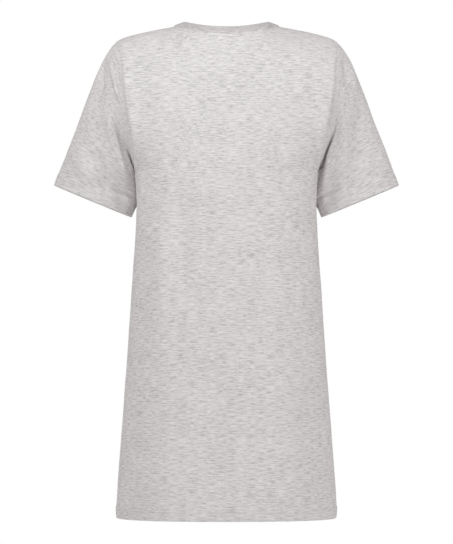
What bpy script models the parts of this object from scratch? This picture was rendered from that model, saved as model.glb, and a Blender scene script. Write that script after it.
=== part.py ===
"""A-line jersey nightshirt with short sleeves and a crew neckband, filled out and hollow.

Five cut and sewn pieces: back, front, two sleeves and a neckband.
All tables are in millimetres. The back faces -Y, +Z is up, and X runs from the left sleeve (-X)
to the right sleeve (+X). The origin lies midway between the two shoulder ends of the neck seam.
"""

import bpy
import numpy as np

METRES = 0.001

WALL = 1.5
BAND_WALL = 2.2
HEM_WALL = 2.3
SEAM_GAP = 0.3

NECK_X = 93.3
UNDERARM_Z = -255.0
HEM_Z = -864.0
HEM_DEPTH = 20.0
BODY_POWER = 2.4

NECK_COLUMNS = 8
SHOULDER_COLUMNS = 7
ARMHOLE_ROWS = 16
SLEEVE_RINGS = 12

# Torso sections from the hem up: height, half width, depth of the back and depth of the front.
TORSO = (
    # height, half_width, back_depth, front_depth
    (-864.0, 194.8, 148.0, 150.0),
    (-800.0, 191.0, 143.0, 146.0),
    (-700.0, 183.5, 134.0, 139.0),
    (-600.0, 176.0, 126.5, 132.0),
    (-500.0, 169.2, 119.5, 126.0),
    (-400.0, 162.4, 113.5, 121.0),
    (-350.0, 159.4, 111.0, 119.0),
    (-315.0, 158.2, 109.5, 118.0),
    (-285.0, 159.4, 108.5, 117.0),
    (-255.0, 162.5, 107.0, 115.5),
    (-200.0, 162.5, 103.5, 111.5),
    (-150.0, 162.5, 97.5, 105.0),
    (-100.0, 162.5, 89.5, 94.0),
    (-60.0, 162.5, 81.0, 84.0),
    (-24.0, 162.5, 71.5, 76.0),
    (60.0, 162.5, 60.0, 66.0),
)

# Armhole seam from the shoulder point down: height, and how far out each line of it lies.
ARMHOLE = (
    # height, back_left, back_right, front
    (60.0, 197.0, 197.0, 197.0),
    (-29.5, 197.0, 197.0, 197.0),
    (-42.0, 190.5, 195.0, 192.0),
    (-60.0, 185.5, 193.0, 187.5),
    (-95.0, 182.0, 191.0, 181.5),
    (-130.0, 178.5, 186.5, 176.0),
    (-172.0, 171.5, 178.5, 170.5),
    (-208.0, 165.5, 171.5, 166.0),
    (-236.0, 162.5, 166.0, 163.5),
    (-255.0, 162.5, 162.5, 162.5),
    (-900.0, 162.5, 162.5, 162.5),
)

# Crest of the shoulder, carried on inside the neck so that the panels slope up to the neckline.
SHOULDER = (
    # out_from_middle, height, back_rounding, front_rounding
    (0.0, 50.0, 108.0, 190.0),
    (30.0, 32.0, 108.0, 190.0),
    (60.0, 14.5, 110.0, 188.0),
    (80.0, 4.6, 113.0, 184.0),
    (93.3, 0.0, 116.0, 180.0),
    (115.0, -4.3, 122.0, 172.0),
    (143.4, -10.1, 131.0, 162.0),
    (171.6, -17.0, 140.0, 154.0),
    (185.7, -21.9, 145.0, 151.0),
    (192.7, -26.0, 148.0, 150.0),
    (197.0, -29.5, 150.0, 150.0),
)

# Sleeve sections along the arm: the outer and inner points of each, its depth and its lean.
SLEEVE = (
    # share, outer_x, outer_z, inner_clear, inner_z, back_half, front_half, outer_y, inner_y
    (0.00, 197.0, -29.5, 0.0, -255.0, 52.0, 54.0, 0.0, 0.0),
    (0.05, 206.5, -41.5, 1.7, -258.5, 53.5, 55.0, 0.5, 11.0),
    (0.12, 217.6, -60.0, 1.8, -263.0, 55.5, 57.0, 2.0, 20.0),
    (0.22, 229.6, -86.0, 1.7, -269.0, 57.5, 59.0, 4.5, 26.0),
    (0.34, 242.6, -118.5, 1.9, -276.0, 58.5, 60.0, 8.5, 29.0),
    (0.50, 258.3, -160.5, 2.0, -285.5, 57.5, 58.5, 14.5, 31.0),
    (0.68, 275.2, -202.5, 2.0, -296.5, 54.0, 54.5, 21.5, 32.0),
    (0.82, 288.3, -236.0, 2.0, -305.0, 49.5, 49.5, 26.5, 32.0),
    (0.90, 294.9, -252.5, 3.0, -309.5, 46.5, 46.5, 29.0, 32.0),
    (1.00, 304.9, -277.5, 11.6, -334.5, 44.5, 44.5, 31.0, 31.0),
)
CUFF_SHARE = 0.926

FRONT_FALL = 3.0

# Neckband sections from the seam to the free edge: width, depth and drop at back and front.
NECKBAND = (
    # share, half_width, side_height, back_depth, back_height, back_fall, front_depth, front_height
    (0.0, 93.3, 0.0, 70.0, -17.4, 1.70, 93.5, -98.0),
    (0.5, 84.6, 4.9, 65.5, -9.8, 1.92, 89.5, -88.0),
    (1.0, 74.8, 8.3, 59.0, -3.8, 2.15, 84.0, -79.5),
)

# Largest folds: where each runs in x and height, its half width and how far it stands out.
BACK_FOLDS = (
    # x0, height0, x1, height1, half_width, rise
    (-77.0, -300.0, -80.0, -480.0, 26.0, -2.5),
    (-114.0, -360.0, -120.0, -620.0, 28.0, 2.5),
    (-30.0, -560.0, -26.0, -830.0, 42.0, -4.0),
    (70.0, -520.0, 88.0, -850.0, 46.0, 4.0),
    (-150.0, -275.0, -96.0, -330.0, 15.0, 2.0),
    (148.0, -270.0, 100.0, -335.0, 15.0, 2.0),
)
FRONT_FOLDS = (
    # x0, height0, x1, height1, half_width, rise
    (-70.0, -420.0, -84.0, -850.0, 44.0, 4.0),
    (24.0, -480.0, 30.0, -840.0, 42.0, -3.5),
    (96.0, -400.0, 118.0, -800.0, 34.0, 3.0),
    (-150.0, -275.0, -92.0, -335.0, 15.0, 2.0),
    (150.0, -275.0, 92.0, -335.0, 15.0, 2.0),
)
LEFT_SLEEVE_FOLDS = (
    # x0, height0, x1, height1, half_width, rise
    (-217.0, -62.0, -236.0, -158.0, 13.0, -4.0),
    (-226.0, -236.0, -214.0, -292.0, 10.0, -3.0),
    (-213.0, -122.0, -184.0, -292.0, 8.5, 4.5),
    (-266.0, -218.0, -248.0, -272.0, 16.0, 3.0),
    (-176.0, -122.0, -160.0, -316.0, 9.0, -8.0),
)
RIGHT_SLEEVE_FOLDS = (
    # x0, height0, x1, height1, half_width, rise
    (237.0, -130.0, 226.0, -262.0, 15.0, -5.5),
    (270.0, -218.0, 288.0, -256.0, 15.0, 3.5),
    (187.0, -212.0, 176.0, -300.0, 8.5, 3.5),
    (196.0, -112.0, 170.0, -290.0, 7.0, -5.5),
)


def column(table, place):
    """One named column of a table as an array."""
    return np.array([row[place] for row in table], dtype=float)


def slopes(knots, values):
    """Gentle slopes at the rows of a table, with no overshoot between rows."""
    step = np.diff(knots)
    rise = np.diff(values) / step
    inner = np.zeros(len(knots))
    inner[0] = rise[0]
    inner[-1] = rise[-1]
    before, after = rise[:-1], rise[1:]
    steady = before * after > 0.0
    weight = (step[:-1] + 2.0 * step[1:], 2.0 * step[:-1] + step[1:])
    safe_before = np.where(steady, before, 1.0)
    safe_after = np.where(steady, after, 1.0)
    mean = (weight[0] + weight[1]) / (weight[0] / safe_before + weight[1] / safe_after)
    inner[1:-1] = np.where(steady, mean, 0.0)
    return inner


def smooth(knots, values, at):
    """Read a table between its rows along a smooth curve."""
    order = np.argsort(knots)
    knots, values = knots[order], values[order]
    slope = slopes(knots, values)
    at = np.clip(np.asarray(at, dtype=float), knots[0], knots[-1])
    low = np.clip(np.searchsorted(knots, at, side="right") - 1, 0, len(knots) - 2)
    step = knots[low + 1] - knots[low]
    t = (at - knots[low]) / step
    return (values[low] * (1 + 2 * t) * (1 - t) ** 2 + slope[low] * step * t * (1 - t) ** 2
            + values[low + 1] * t * t * (3 - 2 * t) + slope[low + 1] * step * t * t * (t - 1))


def rounding(share):
    """Round edge over its run: 0 at 0 with an upright start, and 1 from 1 on."""
    share = np.clip(share, 0.0, 1.0)
    return np.sqrt(np.maximum(0.0, 1.0 - (1.0 - share) ** 3))


def ease(share):
    """Smooth step from 0 to 1."""
    share = np.clip(share, 0.0, 1.0)
    return share * share * (3.0 - 2.0 * share)


def unit(vectors):
    """Vectors at length one."""
    size = np.linalg.norm(vectors, axis=-1, keepdims=True)
    return vectors / np.maximum(size, 1e-9)


def folds(table, x, z, across):
    """Sum of the folds of a table at given places, faded by across toward the edges."""
    total = np.zeros_like(x)
    for x0, z0, x1, z1, half_width, rise in table:
        run = np.array([x1 - x0, z1 - z0])
        length = np.hypot(run[0], run[1])
        along = ((x - x0) * run[0] + (z - z0) * run[1]) / length ** 2
        beside = ((x - x0) * run[1] - (z - z0) * run[0]) / length
        ends = np.where(along < 0.5, along + 0.25, 1.25 - along) / 0.5
        total += rise * ease(ends) * np.exp(-(beside / half_width) ** 2)
    return total * across


def crest(x, face):
    """Height of the shoulder line and the run of the rounding below it, at a place in x."""
    out = np.abs(x)
    knots = column(SHOULDER, 0)
    run = column(SHOULDER, 2 if face == "back" else 3)
    return smooth(knots, column(SHOULDER, 1), out), smooth(knots, run, out)


def neck_height(share, row, face):
    """Height of a neckband section at a share of its half width."""
    share = np.clip(np.abs(share), 0.0, 1.0)
    if face == "back":
        return row[2] + (row[4] - row[2]) * (1.0 - share ** row[5])
    return row[2] + (row[7] - row[2]) * (1.0 - share ** FRONT_FALL)


def torso_depth(z, face):
    """Depth of the back or front at a height."""
    return smooth(column(TORSO, 0), column(TORSO, 2 if face == "back" else 3), z)


def armhole_out(z, side, face):
    """How far out the armhole seam lies at a height."""
    place = 3
    if face == "back":
        place = 1 if side < 0 else 2
    return smooth(column(ARMHOLE, 0), column(ARMHOLE, place), z)


def armhole_ratio(z, face):
    """Share of the torso's depth at which the armhole seam lies: 0 at the underarm."""
    most, run = (0.73, 155.0) if face == "back" else (0.64, 155.0)
    return most * rounding((z - UNDERARM_Z) / run)


def reach(z, side, face):
    """Half width of the torso section that would pass through the armhole seam."""
    ratio = armhole_ratio(z, face)
    above = armhole_out(z, side, face) / (1.0 - ratio ** BODY_POWER) ** (1.0 / BODY_POWER)
    below = smooth(column(TORSO, 0), column(TORSO, 1), z)
    return np.where(z > UNDERARM_Z, above, below)


def widest(z, face):
    """Angle of the last column at a height: a right angle at the side seam."""
    ratio = np.where(z > UNDERARM_Z, armhole_ratio(z, face), 0.0)
    return np.arccos(ratio ** (BODY_POWER / 2.0))


def torso_point(u, z, face):
    """Point of the torso at a column share from -1 to 1 and a height."""
    side = np.where(u < 0, -1.0, 1.0)
    half = np.where(u < 0, reach(z, -1.0, face), reach(z, 1.0, face))
    angle = np.abs(u) * widest(z, face)
    x = side * half * np.sin(angle) ** (2.0 / BODY_POWER)
    section = np.maximum(np.cos(angle), 0.0) ** (2.0 / BODY_POWER)
    top, run = crest(x, face)
    shape = section * rounding((top - z) / run)
    table = BACK_FOLDS if face == "back" else FRONT_FOLDS
    depth = torso_depth(z, face) * shape + folds(table, x, z, shape ** 2)
    sign = -1.0 if face == "back" else 1.0
    return x, sign * depth


def column_shares(face, neck_columns, shoulder_columns):
    """Column shares from the left border to the right, with one on each end of the neck seam."""
    half = reach(np.array(0.0), 1.0, face)
    angle = np.arcsin((NECK_X / half) ** (BODY_POWER / 2.0)) / widest(np.array(0.0), face)
    turn = np.sin(np.linspace(0.0, np.pi / 2.0, neck_columns + 1)) * NECK_X
    neck = np.arcsin((turn / half) ** (BODY_POWER / 2.0)) / widest(np.array(0.0), face)
    rest = angle + (1.0 - angle) * np.linspace(0.0, 1.0, shoulder_columns + 1)[1:]
    right = np.concatenate([neck, rest])
    return np.concatenate([-right[:0:-1], right])


def row_heights(hem_rows):
    """Heights of the rows below the underarm, with a close pair at the top of the hem fold."""
    lower = np.linspace(UNDERARM_Z, HEM_Z + HEM_DEPTH + 3.0, hem_rows + 1)[1:]
    return np.concatenate([lower, [HEM_Z + HEM_DEPTH, HEM_Z]])


def panel(face, neck_columns, shoulder_columns, armhole_rows, hem_rows):
    """Grid of points of the back or front: rows from the top border to the hem."""
    u = column_shares(face, neck_columns, shoulder_columns)
    neck_share = np.abs(u[shoulder_columns])
    share = np.arange(armhole_rows + 1) / armhole_rows
    round_share = (1.0 - np.cos(np.pi * share)) / 2.0
    lean = np.clip(np.abs(u) / neck_share, 0.0, 1.0) ** 2
    step = share[:, None] * (1.0 - lean) + round_share[:, None] * lean
    on_neck = np.abs(u) < neck_share - 1e-9
    z = UNDERARM_Z * step
    for _ in range(24):
        x, _ = torso_point(np.broadcast_to(u, z.shape), z, face)
        neckline = neck_height(x / NECK_X, NECKBAND[0], face)
        top = np.where(on_neck, neckline, crest(x, face)[0])
        z = 0.5 * z + 0.5 * (top * (1.0 - step) + UNDERARM_Z * step)
    lower = np.repeat(row_heights(hem_rows)[:, None], len(u), axis=1)
    z = np.concatenate([z, lower])
    x, y = torso_point(np.broadcast_to(u, z.shape), z, face)
    y[0, ~on_neck] = 0.0
    y[armhole_rows:, 0] = 0.0
    y[armhole_rows:, -1] = 0.0
    return np.stack([x, y, z], axis=-1)


def armhole_loop(back, front, side, armhole_rows):
    """Closed armhole seam from the shoulder point down the back and up the front."""
    place = 0 if side < 0 else -1
    down = back[:armhole_rows + 1, place]
    up = front[1:armhole_rows, place][::-1]
    return np.concatenate([down, up])


def torso_side(y, z):
    """Half width of the torso below the underarm at a place off its middle plane."""
    half = smooth(column(TORSO, 0), column(TORSO, 1), z)
    depth = np.where(y < 0, torso_depth(z, "back"), torso_depth(z, "front"))
    ratio = np.clip(np.abs(y) / depth, 0.0, 1.0)
    return half * (1.0 - ratio ** BODY_POWER) ** (1.0 / BODY_POWER)


def sleeve(loop, side, rings):
    """Grid of points of a sleeve: rings from the armhole seam to the cuff."""
    count = len(loop)
    turn = 2.0 * np.pi * np.arange(count) / count
    knots = column(SLEEVE, 0)
    share = sleeve_shares(rings)[:, None]
    outer_x, outer_z, clear, inner_z, back_half, front_half, outer_y, inner_y = (
        smooth(knots, column(SLEEVE, place), share) for place in range(1, 9))
    inner_x = torso_side(inner_y, inner_z) + clear
    high = (1.0 + np.cos(turn)) / 2.0
    half = np.where(np.sin(turn) > 0.0, back_half, front_half)
    x = inner_x + (outer_x - inner_x) * high
    y = inner_y + (outer_y - inner_y) * high - half * np.sin(turn)
    z = inner_z + (outer_z - inner_z) * high
    points = np.stack([side * x, y, z], axis=-1)
    points += (loop - points[0]) * ((1.0 - share) ** 5)[:, :, None]
    table = LEFT_SLEEVE_FOLDS if side < 0 else RIGHT_SLEEVE_FOLDS
    facing = np.clip(np.sin(turn), 0.0, 1.0) ** 1.2 * ease(share / 0.12)
    points[..., 1] -= folds(table, points[..., 0], points[..., 2], facing)
    return points


def sleeve_shares(rings):
    """Shares of the rings along a sleeve, with a close pair at the top of the cuff fold."""
    return np.concatenate([np.linspace(0.0, CUFF_SHARE - 0.014, rings - 1), [CUFF_SHARE, 1.0]])


def band_ring(row, seam, on_back):
    """Ring of the neckband: the neck seam drawn in to one section of the table."""
    first = NECKBAND[0]
    share = seam[:, 0] / NECK_X
    height = np.where(on_back, neck_height(share, row, "back"), neck_height(share, row, "front"))
    depth = np.where(on_back, row[3] / first[3], row[6] / first[6])
    return np.stack([share * row[1], seam[:, 1] * depth, height], axis=-1)


def neckband(seam, neck_columns, rings):
    """Grid of points of the neckband: rings from the neck seam to the free edge."""
    on_back = np.arange(len(seam)) <= 2 * neck_columns
    stack = np.stack([band_ring(row, seam, on_back) for row in NECKBAND])
    stack[0] = seam
    knots = column(NECKBAND, 0)
    share = np.linspace(0.0, 1.0, rings + 1)
    axes = [
        np.stack([smooth(knots, stack[:, point, axis], share) for point in range(len(seam))])
        for axis in range(3)]
    return np.stack(axes, axis=-1).transpose(1, 0, 2)


def neck_seam(back, front, shoulder_columns):
    """Closed neck seam: the back from left to right, then the front from right to left."""
    first, last = shoulder_columns, back.shape[1] - shoulder_columns
    return np.concatenate([back[0, first:last], front[0, first + 1:last - 1][::-1]])


def grid_normals(grid, closed, outward):
    """Normal at each point of a grid, turned outward by the given sign."""
    if closed:
        along = np.roll(grid, -1, axis=1) - np.roll(grid, 1, axis=1)
    else:
        along = np.gradient(grid, axis=1)
    down = np.gradient(grid, axis=0)
    return unit(np.cross(along, down)) * outward


def seam_frames(seam, own, other, inward, outward):
    """Shared normal at a closed seam and the direction across it, from one piece to the next."""
    along = unit(np.roll(seam, -1, axis=0) - np.roll(seam, 1, axis=0))
    shared = own + other
    shared = unit(shared - along * np.sum(shared * along, axis=-1, keepdims=True))
    across = unit(np.cross(along, shared))
    sense = np.sum(across * (outward + inward), axis=-1, keepdims=True)
    return shared, across * np.where(sense < 0.0, -1.0, 1.0)


def solid(name, outer, inner, closed, colour):
    """Closed wall from an outer and an inner grid, as one object with its own material."""
    rows, columns = outer.shape[:2]
    points = np.concatenate([outer.reshape(-1, 3), inner.reshape(-1, 3)]) * METRES
    shift = rows * columns
    faces = []
    for row in range(rows - 1):
        for place in range(columns if closed else columns - 1):
            after = (place + 1) % columns
            a, b = row * columns + place, row * columns + after
            c, d = a + columns, b + columns
            faces.append((a, c, d, b))
            faces.append((a + shift, b + shift, d + shift, c + shift))
    for place in range(columns if closed else columns - 1):
        after = (place + 1) % columns
        faces.append((place, after, after + shift, place + shift))
        low, low_after = (rows - 1) * columns + place, (rows - 1) * columns + after
        faces.append((low_after, low, low + shift, low_after + shift))
    if not closed:
        for row in range(rows - 1):
            a, c = row * columns, (row + 1) * columns
            faces.append((c, a, a + shift, c + shift))
            b, d = a + columns - 1, c + columns - 1
            faces.append((b, d, d + shift, b + shift))
    mesh = bpy.data.meshes.new(name)
    triangles = []
    for a, b, c, d in faces:
        near = np.linalg.norm(points[a] - points[c]) <= np.linalg.norm(points[b] - points[d])
        triangles += [(a, b, c), (a, c, d)] if near else [(a, b, d), (b, c, d)]
    mesh.from_pydata([tuple(point) for point in points], [], triangles)
    mesh.update()
    volume = sum(
        np.dot(points[a], np.cross(points[b], points[c])) for a, b, c in triangles)
    if volume < 0.0:
        mesh.flip_normals()
    body = bpy.data.objects.new(name, mesh)
    bpy.context.scene.collection.objects.link(body)
    material = bpy.data.materials.new(name + "_jersey")
    material.use_nodes = True
    shader = material.node_tree.nodes["Principled BSDF"]
    shader.inputs["Base Color"].default_value = colour
    shader.inputs["Roughness"].default_value = 0.9
    mesh.materials.append(material)
    return body


def walls(grid, normals, thickness):
    """Inner grid of a wall, each row at its own thickness."""
    return grid - normals * thickness[:, None, None]


def build():
    """Work out the five pieces, part them at the seams and make their solids."""
    for item in list(bpy.data.objects):
        bpy.data.objects.remove(item)
    half_gap = SEAM_GAP / 2.0
    hem_rows = 11
    back = panel("back", NECK_COLUMNS, SHOULDER_COLUMNS, ARMHOLE_ROWS, hem_rows)
    front = panel("front", NECK_COLUMNS, SHOULDER_COLUMNS, ARMHOLE_ROWS, hem_rows)
    first, last = SHOULDER_COLUMNS, back.shape[1] - 1 - SHOULDER_COLUMNS
    front[0, :first + 1] = back[0, :first + 1]
    front[0, last:] = back[0, last:]
    seam = neck_seam(back, front, SHOULDER_COLUMNS)
    band = neckband(seam, NECK_COLUMNS, 3)
    faces = {"back": (back, -1.0), "front": (front, 1.0)}
    normals = {name: grid_normals(grid, False, sign) for name, (grid, sign) in faces.items()}
    shifts = {name: np.zeros_like(grid) for name, (grid, _) in faces.items()}
    for edge in ((slice(0, 1), slice(0, first + 1)), (slice(0, 1), slice(last, None)),
                 (slice(ARMHOLE_ROWS, None), slice(0, 1)),
                 (slice(ARMHOLE_ROWS, None), slice(-1, None))):
        shared = normals["back"][edge] + normals["front"][edge]
        shared[..., 1] = 0.0
        shared = unit(shared)
        normals["back"][edge] = shared
        normals["front"][edge] = shared
        shifts["back"][edge] += (0.0, -half_gap, 0.0)
        shifts["front"][edge] += (0.0, half_gap, 0.0)

    band_normals = grid_normals(band, True, 1.0)
    rows_down = {"back": back[1] - back[0], "front": front[1] - front[0]}
    own = neck_seam(normals["back"], normals["front"], SHOULDER_COLUMNS)
    below = neck_seam(rows_down["back"][None], rows_down["front"][None], SHOULDER_COLUMNS)
    shared, across = seam_frames(seam, own, band_normals[0], -unit(below),
                                 unit(band[1] - band[0]))
    band_shift = np.zeros_like(band)
    band_shift[0] = across * half_gap
    band_normals[0] = shared
    width = last - first
    normals["back"][0, first:last + 1] = shared[:width + 1]
    shifts["back"][0, first:last + 1] -= across[:width + 1] * half_gap
    turned = np.concatenate([shared[width:], shared[:1]])[::-1]
    turned_across = np.concatenate([across[width:], across[:1]])[::-1]
    normals["front"][0, first:last + 1] = turned
    shifts["front"][0, first:last + 1] -= turned_across * half_gap

    sleeves = {}
    for side, name in ((-1.0, "sleeve_left"), (1.0, "sleeve_right")):
        place = 0 if side < 0 else -1
        inside = 1 if side < 0 else -2
        loop = armhole_loop(back, front, side, ARMHOLE_ROWS)
        tube = sleeve(loop, side, SLEEVE_RINGS)
        tube_normals = grid_normals(tube, True, side)
        own = armhole_loop(normals["back"], normals["front"], side, ARMHOLE_ROWS)
        toward = np.concatenate([
            (back[:, place] - back[:, inside])[:ARMHOLE_ROWS + 1],
            (front[:, place] - front[:, inside])[1:ARMHOLE_ROWS][::-1]])
        onward = unit(tube[1] - tube[0])
        shared, across = seam_frames(loop, own, tube_normals[0], unit(toward), onward)
        tube_shift = np.zeros_like(tube)
        tube_shift[0] = across * half_gap
        bend = np.sum((onward - unit(toward)) * shared, axis=-1, keepdims=True)
        convex = bend < 0.0
        tube_normals[0] = np.where(convex, shared, tube_normals[0])
        body_normals = np.where(convex, shared, own)
        rows = ARMHOLE_ROWS
        normals["back"][:rows + 1, place] = body_normals[:rows + 1]
        shifts["back"][:rows + 1, place] -= across[:rows + 1] * half_gap
        normals["front"][rows, place] = body_normals[rows]
        normals["front"][0, place] = body_normals[0]
        normals["front"][1:rows, place] = body_normals[rows + 1:][::-1]
        shifts["front"][rows, place] -= across[rows] * half_gap
        shifts["front"][0, place] -= across[0] * half_gap
        shifts["front"][1:rows, place] -= across[rows + 1:][::-1] * half_gap
        sleeves[name] = (tube, tube_normals, tube_shift)

    heather = (0.60, 0.58, 0.57, 1.0)
    for name, (grid, _) in faces.items():
        thickness = np.full(grid.shape[0], WALL)
        thickness[-2:] = HEM_WALL
        outer = grid + shifts[name]
        solid(name + "_panel", outer, walls(outer, normals[name], thickness), False, heather)
    for name, (tube, tube_normals, tube_shift) in sleeves.items():
        thickness = np.full(tube.shape[0], WALL)
        thickness[-2:] = HEM_WALL
        outer = tube + tube_shift
        solid(name, outer, walls(outer, tube_normals, thickness), True, heather)
    outer = band + band_shift
    thickness = np.full(band.shape[0], BAND_WALL)
    thickness[0] = WALL
    solid("neckband", outer, walls(outer, band_normals, thickness), True, heather)


build()
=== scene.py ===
"""Looks of the filled-out jersey nightshirt: fine cloth shells, seams, stitches, yarn and light.

Sizes of the garment are in millimetres, and become metres where its meshes are made. The weave, the
camera, the lights and the floor are in metres. The back faces -Y, +Z is up, and X runs from the left
sleeve (-X) to the right sleeve (+X). The origin lies midway between the two shoulder ends of the
neck seam.
"""

import bmesh
import bpy
import numpy as np
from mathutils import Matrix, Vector, noise


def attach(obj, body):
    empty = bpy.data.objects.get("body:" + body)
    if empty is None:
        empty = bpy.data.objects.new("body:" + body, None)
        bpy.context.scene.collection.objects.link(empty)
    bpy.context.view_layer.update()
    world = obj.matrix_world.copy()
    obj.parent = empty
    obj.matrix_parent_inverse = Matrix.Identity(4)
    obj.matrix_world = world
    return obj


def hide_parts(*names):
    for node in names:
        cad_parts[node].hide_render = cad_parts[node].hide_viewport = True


METRES = 0.001

# Wall thickness of single cloth, the neckband and the folded hem, and the gap at a seam.
CLOTH = 0.95
BAND_CLOTH = 2.0
FOLDED_CLOTH = 2.1
SEAM_GAP = 0.06

# Half width of the neck seam, heights of the underarm and hem, and depth of the turned hem.
NECK_X = 93.3
UNDERARM_Z = -255.0
HEM_Z = -862.5
HEM_DEPTH = 20.0

# Rows and columns of the grids, how much they crowd at borders, and steps round a folded edge.
# FOLD_MAP_STEP is the length in metres that each of these steps has on the cloth's map.
NECK_COLUMNS = 40
SHOULDER_COLUMNS = 46
ARMHOLE_ROWS = 104
SKIRT_ROWS = 112
HEM_ROWS = 26
SLEEVE_RINGS = 74
CUFF_RINGS = 22
BAND_RINGS = 24
CROWDING = 0.5
FOLD_STEPS = 5
FOLD_MAP_STEP = 0.0008

# Stitch rows: distance above the hem or below the neckband, and the length, gap and radius of threads.
HEM_STITCHES = (19.0, 13.8)
NECK_STITCH = 5.8
HEM_THREAD = (2.7, 0.7, 0.22)
NECK_THREAD = (2.5, 0.7, 0.2)
THREAD_SIDES = 6
THREAD_SHAPE = (
    # share_of_length, thickness, height_above_cloth
    (0.0, 0.35, -0.9),
    (0.14, 0.9, 0.35),
    (0.5, 1.0, 0.62),
    (0.86, 0.9, 0.35),
    (1.0, 0.35, -0.9),
)

# Hem and cuffs: the step of the doubled cloth, the dent under a stitch row and the edge's curl.
HEM_STEP = 0.8
STITCH_DENT = 0.18
STITCH_DENT_WIDTH = 1.1
HEM_CURL = 2.0
CUFF_CURL = 0.6

# The body's cloth stands out beside the armholes, and the sleeve's is tucked in behind it.
LIP_HEIGHT = 5.5
LIP_WIDTH = 17.0
LIP_EDGE = 2.2
TUCK_WIDTH = 3.2
TUCK_DEPTH = 5.0
SLEEVE_SWELL = 12.0
SWELL_ACROSS = 0.7

# Roll of the neckband: rise, height above the seam and width.
BAND_ROLL = (0.9, 4.0, 3.2)

# Flat map: fall and depth of the shoulder's rounding, and how far on the front's map lies, in metres.
ROUNDING_FALL = 130.0
ROUNDING_DEPTH = 85.0
FRONT_MAP_SHIFT = 1.3

# Width and height of one knit loop in metres.
WALE = 0.00115
COURSE = 0.00085

# Fibre spots of the heather in metres on the cloth.
FIBRES = (
    # width, height, detail, seed_step, weight
    (0.0170, 0.0021, 2.0, 0.0, 0.52),
    (0.0070, 0.0008, 1.0, 11.0, 0.38),
    (0.060, 0.030, 2.0, 23.0, 0.10),
)

# Uneven waves of the cloth, which fade in from its seams.
BODY_WAVES = (
    # size, height, seed_step, fade_length
    (60.0, 0.7, 0.0, 12.0),
    (17.0, 0.16, 7.0, 6.0),
)
SLEEVE_WAVES = (
    # size, height, seed_step, fade_length
    (45.0, 0.7, 0.0, 12.0),
    (15.0, 0.18, 7.0, 6.0),
)
RIPPLE_SIZE = 8.0

# Soft folds: how wide each is, how far it stands out, and the (x, z) points it runs through.
LEFT_FOLDS = (
    # width, rise, points
    (9.0, -4.2, ((-214.0, -50.0), (-223.0, -100.0), (-231.0, -165.0))),
    (8.0, -3.6, ((-227.0, -215.0), (-221.0, -250.0), (-212.0, -300.0))),
    (8.0, 1.2, ((-214.0, -105.0), (-207.0, -150.0), (-200.0, -195.0), (-190.0, -240.0),
                (-183.0, -300.0))),
    (13.0, 3.6, ((-266.0, -205.0), (-256.0, -245.0), (-246.0, -285.0))),
    (3.6, 4.6, ((-206.0, -52.0), (-200.0, -84.0), (-193.0, -107.0), (-184.0, -132.0))),
    (3.2, 3.6, ((-197.0, -102.0), (-190.0, -119.0), (-184.0, -142.0))),
    (3.6, -4.0, ((-194.0, -86.0), (-188.0, -106.0), (-182.0, -122.0))),
    (3.6, -3.6, ((-203.0, -98.0), (-196.0, -122.0), (-189.0, -142.0))),
    (3.6, -3.0, ((-221.0, -58.0), (-221.0, -90.0), (-221.0, -128.0))),
)
RIGHT_FOLDS = (
    # width, rise, points
    (13.0, -5.0, ((236.0, -110.0), (237.0, -160.0), (235.0, -205.0), (226.0, -256.0),
                  (212.0, -310.0))),
    (12.0, 3.6, ((266.0, -200.0), (277.0, -232.0), (288.0, -268.0))),
    (7.0, 0.8, ((186.0, -200.0), (180.0, -250.0), (172.0, -310.0))),
    (5.0, 2.6, ((214.0, -40.0), (222.0, -80.0), (228.0, -120.0))),
    (4.5, -3.0, ((205.0, -52.0), (210.0, -90.0), (216.0, -130.0))),
)
BACK_DRAPES = (
    # width, rise, points
    (16.0, -3.6, ((-77.0, -270.0), (-77.0, -380.0), (-80.0, -500.0))),
    (16.0, 3.2, ((-112.0, -340.0), (-113.0, -420.0), (-116.0, -520.0))),
    (34.0, -5.0, ((-30.0, -560.0), (-28.0, -700.0), (-24.0, -840.0))),
    (30.0, 5.0, ((100.0, -600.0), (112.0, -740.0), (124.0, -860.0))),
    (22.0, -3.4, ((60.0, -330.0), (66.0, -460.0), (70.0, -600.0))),
)
FRONT_DRAPES = (
    # width, rise, points
    (18.0, -2.2, ((82.0, -280.0), (84.0, -400.0), (90.0, -540.0))),
    (18.0, 2.2, ((40.0, -420.0), (42.0, -560.0), (44.0, -720.0))),
    (32.0, -2.8, ((-52.0, -520.0), (-58.0, -680.0), (-62.0, -840.0))),
    (28.0, 2.6, ((-108.0, -480.0), (-118.0, -640.0), (-128.0, -820.0))),
)

# Colours of the body cloth, the neckband cloth (about 0.84 times as bright as the body's) and the
# thread.
BODY_COLOUR = (0.620, 0.592, 0.589)
BAND_COLOUR = (0.526, 0.494, 0.490)
THREAD_COLOUR = (0.55, 0.53, 0.525)

CAMERA_PLACE = (0.0, -6.5, -0.515)
CAMERA_TARGET = (0.0, 0.0, -0.4321)
VIEW_HEIGHT = 0.95744
ROOM_LIGHT = 0.417
ROOM_COLOUR = (1.0, 0.935, 0.925, 1.0)
FLOOR_Z = -1.35
FLOOR_SIZE = 11.0

LIGHTS = (
    # name, place, target, size, power, colour
    ("near", (-0.28, -1.0, 0.85), (0.0, 0.0, -0.12), 0.6, 8.3, (0.94, 1.0, 1.0)),
    ("far_left", (-4.5, -3.5, 0.3), (0.0, 0.0, -0.4), 2.0, 79.0, (0.94, 1.0, 1.0)),
    ("far_right", (4.5, -3.5, 0.3), (0.0, 0.0, -0.4), 2.0, 108.0, (0.94, 1.0, 1.0)),
    ("far_back", (0.0, 4.5, -0.2), (0.0, 0.0, -0.4), 2.5, 150.0, (0.94, 1.0, 1.0)),
)

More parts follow.
